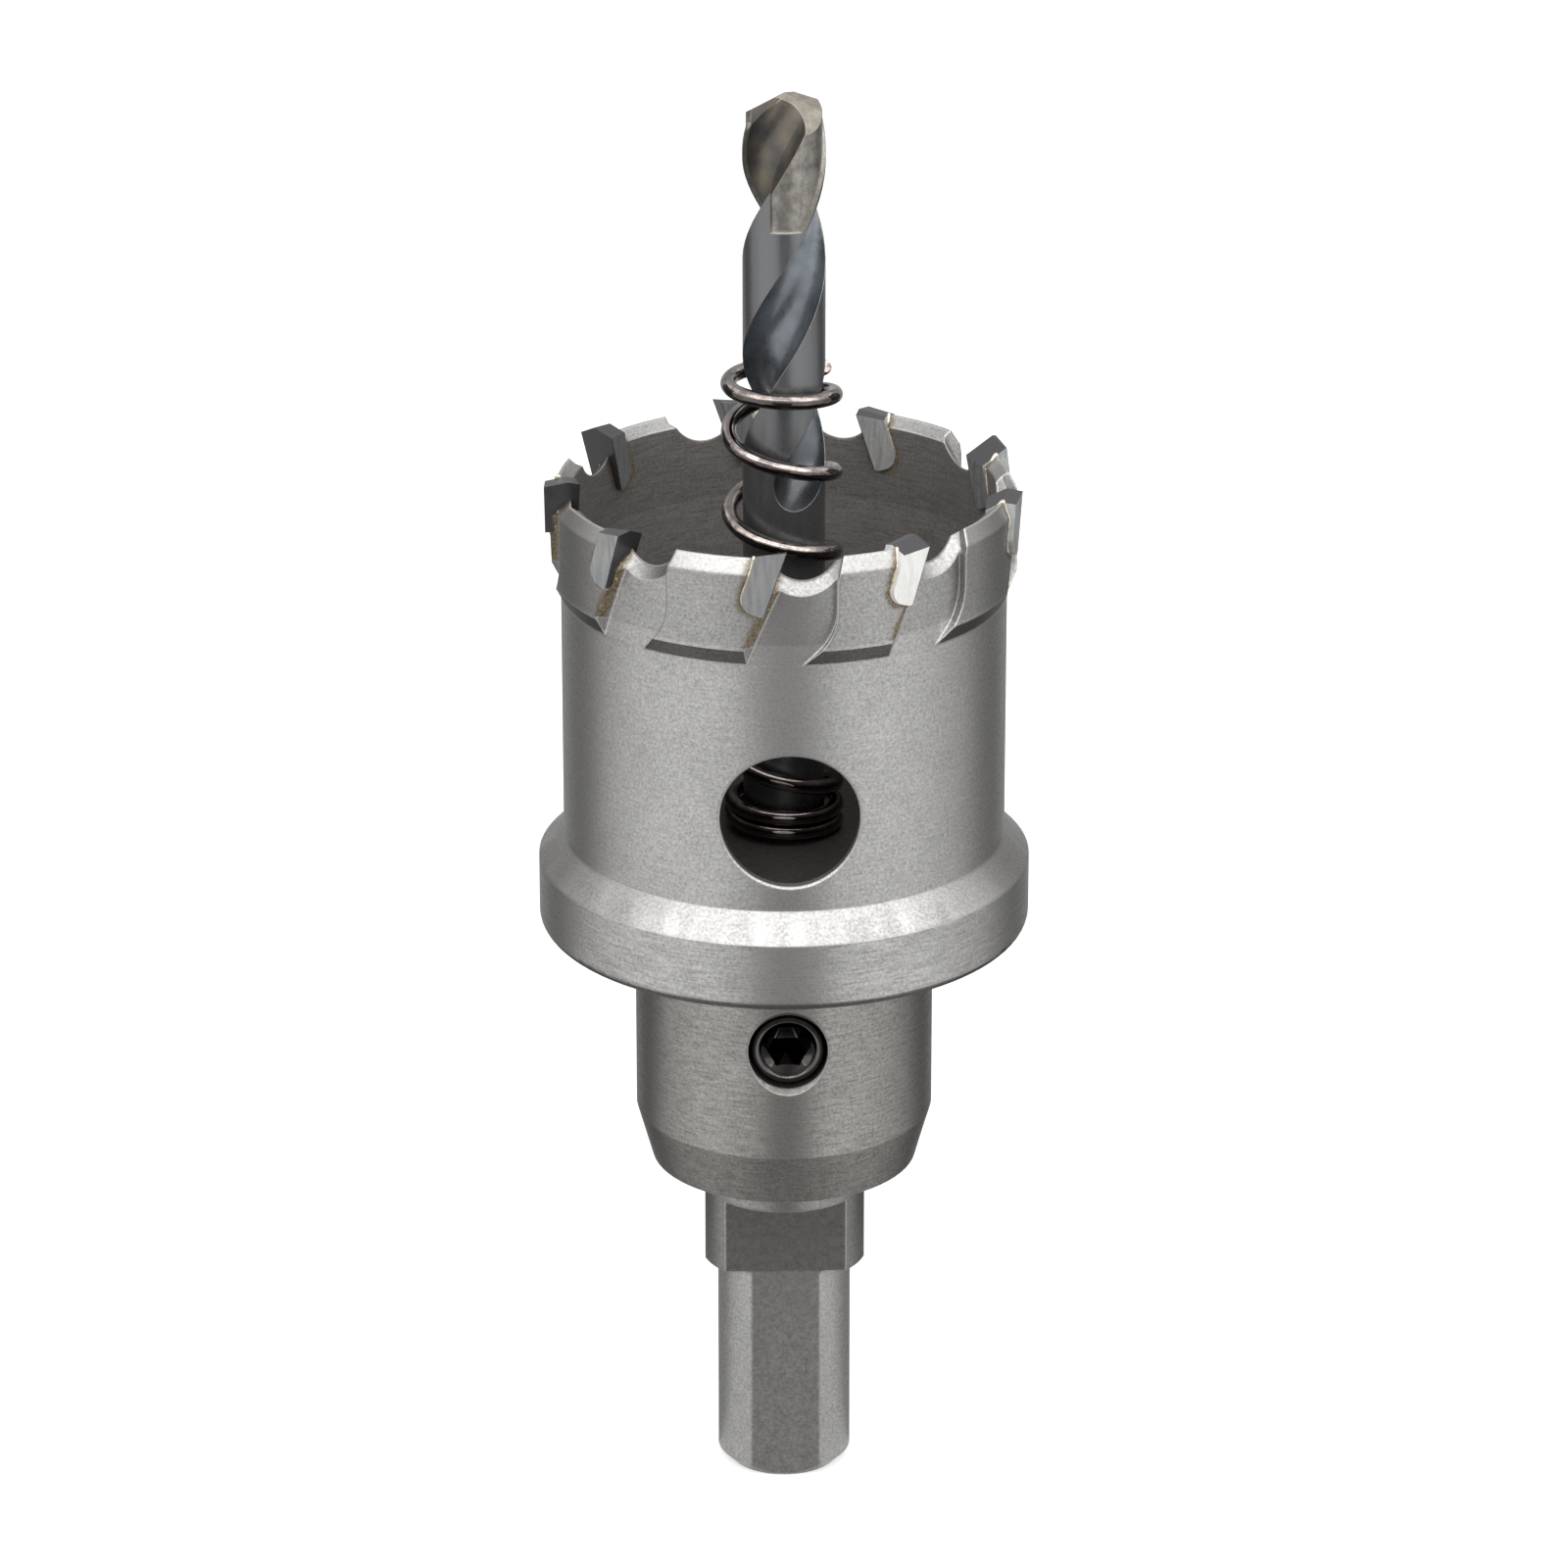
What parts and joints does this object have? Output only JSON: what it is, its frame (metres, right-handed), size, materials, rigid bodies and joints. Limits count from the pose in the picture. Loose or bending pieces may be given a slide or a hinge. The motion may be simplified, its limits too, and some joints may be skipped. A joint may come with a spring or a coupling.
{
  "type": "carbide hole saw",
  "caption": "Toothed steel cup cutter with brazed carbide tips, central twist drill, coil ejector spring and flatted shank, for cutting round holes in sheet metal.",
  "frame": {"origin": "centre of the shank's end face", "axes": "+Z along the axis towards the drill's tip, -Y towards the slug window and the grub screw"},
  "size_m": [0.0362, 0.0362, 0.1082],
  "materials": {
    "body_steel": "satin, bead blasted over fine turning lines",
    "carbide": "ground",
    "drill_steel": "steam oxide, semi-gloss",
    "black_screw": "black oxide, gloss",
    "spring_wire": "oil-tempered, gloss"
  },
  "bodies": {
    "saw": {"cutter_body": "body_steel", "carbide_tip_1": "carbide", "carbide_tip_2": "carbide", "carbide_tip_3": "carbide", "carbide_tip_4": "carbide", "carbide_tip_5": "carbide", "carbide_tip_6": "carbide", "carbide_tip_7": "carbide", "carbide_tip_8": "carbide", "carbide_tip_9": "carbide", "pilot_drill": "drill_steel", "set_screw": "black_screw"},
    "spring": {"ejector_spring": "spring_wire"}
  },
  "joints": [
    {"name": "spring_press", "type": "slide", "parent": "saw", "child": "spring", "axis": [0, 0, -1], "range_m": [0, 0.02], "stiffness_N_per_m": 4400, "deforming": ["ejector_spring"]}
  ]
}
